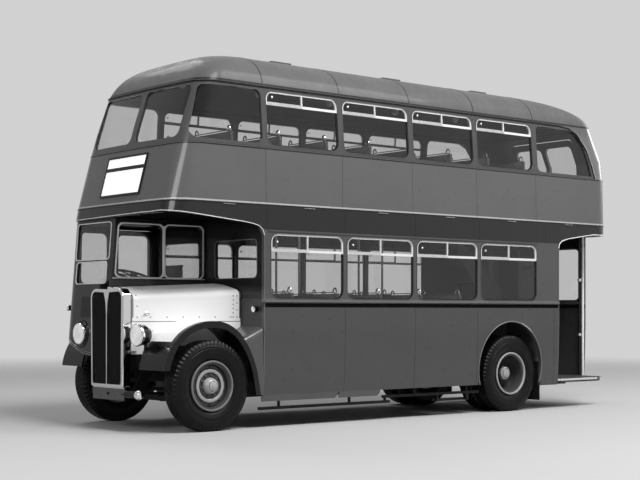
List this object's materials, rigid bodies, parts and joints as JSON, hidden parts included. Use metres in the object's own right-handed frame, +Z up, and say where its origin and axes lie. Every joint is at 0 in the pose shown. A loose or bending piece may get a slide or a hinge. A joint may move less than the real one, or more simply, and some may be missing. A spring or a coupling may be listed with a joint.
{
  "type": "double decker bus",
  "caption": "Half-cab double decker bus with an open rear platform, a front engine under a side bonnet, domed roof and steered front wheels.",
  "frame": {"origin": "centre of the bounding box on the ground plane", "axes": "-Y is the front of the bus, +X its nearside, +Z up"},
  "size_m": [2.31, 7.855, 4.428],
  "materials": {
    "body_paint": "gloss",
    "roof_paint": "satin",
    "floor_boards": "matt",
    "dark_paint": "satin",
    "black_paint": "gloss",
    "bonnet_aluminium": "satin",
    "white_paint": "gloss",
    "bright_metal": "polished",
    "grille_dark": "satin",
    "chassis_paint": "satin",
    "engine_iron": "matt",
    "steel": "satin",
    "tyre": "matt",
    "wheel_paint": "gloss",
    "moquette": "woven",
    "seat_leather": "worn",
    "frame_aluminium": "satin",
    "glass": "polished"
  },
  "bodies": {
    "bus": {"bonnet_lower_side": "white_paint", "cab_shell": "body_paint", "chassis_cross_members": "chassis_paint", "chassis_side_members": "chassis_paint", "destination_box": "black_paint", "driver_seat": "seat_leather", "engine_block": "engine_iron", "exhaust": "steel", "front_axle_beam": "steel", "front_bulkhead": "body_paint", "front_wings": "black_paint", "fuel_tank": "chassis_paint", "gearbox_and_propshaft": "chassis_paint", "handrails": "bright_metal", "headlamps": "bright_metal", "leaf_springs": "steel", "lower_floor": "floor_boards", "lower_nearside_wall": "body_paint", "lower_offside_wall": "body_paint", "nearside_quarter_panel": "body_paint", "platform": "floor_boards", "radiator_grille": "grille_dark", "radiator_shell": "bright_metal", "rear_axle_casing": "steel", "rear_bulkhead": "body_paint", "rear_platform_panel": "body_paint", "roof": "roof_paint", "seat_backs": "moquette", "seat_cushions": "moquette", "seat_frames": "chassis_paint", "side_guards": "chassis_paint", "staircase": "dark_paint", "steering_column": "chassis_paint", "upper_floor": "floor_boards", "upper_front": "body_paint", "upper_nearside_wall": "body_paint", "upper_offside_wall": "body_paint", "upper_rear_wall": "body_paint", "vent_frames": "frame_aluminium", "window_glass": "glass"},
    "nearside_knuckle": {"nearside_knuckle": "steel"},
    "offside_knuckle": {"offside_knuckle": "steel"},
    "track_rod": {"track_rod": "steel"},
    "front_nearside_wheel": {"front_nearside_tyre": "tyre", "front_nearside_rim": "wheel_paint"},
    "front_offside_wheel": {"front_offside_tyre": "tyre", "front_offside_rim": "wheel_paint"},
    "rear_nearside_wheels": {"rear_nearside_tyres": "tyre", "rear_nearside_rims": "wheel_paint"},
    "rear_offside_wheels": {"rear_offside_tyres": "tyre", "rear_offside_rims": "wheel_paint"},
    "cab_door": {"cab_door": "body_paint"},
    "bonnet": {"bonnet": "bonnet_aluminium"},
    "emergency_door": {"emergency_door": "body_paint"}
  },
  "joints": [
    {"name": "steer_nearside", "type": "hinge", "parent": "bus", "child": "nearside_knuckle", "pos_m": [0.8, -3.1625, 0.485], "axis": [0, 0, 1], "range_deg": [-35, 35]},
    {"name": "steer_offside", "type": "hinge", "parent": "bus", "child": "offside_knuckle", "pos_m": [-0.8, -3.1625, 0.485], "axis": [0, 0, 1], "range_deg": [-35, 35]},
    {"name": "track_rod_slide", "type": "slide", "parent": "bus", "child": "track_rod", "axis": [1, 0, 0], "range_m": [-0.115, 0.115]},
    {"name": "spin_front_nearside", "type": "hinge", "parent": "nearside_knuckle", "child": "front_nearside_wheel", "pos_m": [0.985, -3.1625, 0.515], "axis": [1, 0, 0], "continuous": true},
    {"name": "spin_front_offside", "type": "hinge", "parent": "offside_knuckle", "child": "front_offside_wheel", "pos_m": [-0.985, -3.1625, 0.515], "axis": [1, 0, 0], "continuous": true},
    {"name": "spin_rear_nearside", "type": "hinge", "parent": "bus", "child": "rear_nearside_wheels", "pos_m": [0.81, 1.8155, 0.515], "axis": [1, 0, 0], "continuous": true},
    {"name": "spin_rear_offside", "type": "hinge", "parent": "bus", "child": "rear_offside_wheels", "pos_m": [-0.81, 1.8155, 0.515], "axis": [1, 0, 0], "continuous": true},
    {"name": "cab_door_hinge", "type": "hinge", "parent": "bus", "child": "cab_door", "pos_m": [-1.143, -2.5225, 1.845], "axis": [0, 0, -1], "range_deg": [0, 80]},
    {"name": "bonnet_hinge", "type": "hinge", "parent": "bus", "child": "bonnet", "pos_m": [-0.038, -3.1425, 1.702], "axis": [0, -1, 0], "range_deg": [0, 60]},
    {"name": "emergency_door_hinge", "type": "hinge", "parent": "bus", "child": "emergency_door", "pos_m": [-0.6, 3.9025, 3.27], "axis": [0, 0, 1], "range_deg": [0, 90]}
  ],
  "couplings": [
    {"joint": "steer_offside", "follows": "steer_nearside", "ratio": 1},
    {"joint": "track_rod_slide", "follows": "steer_nearside", "m_per_rad": -0.1785}
  ]
}
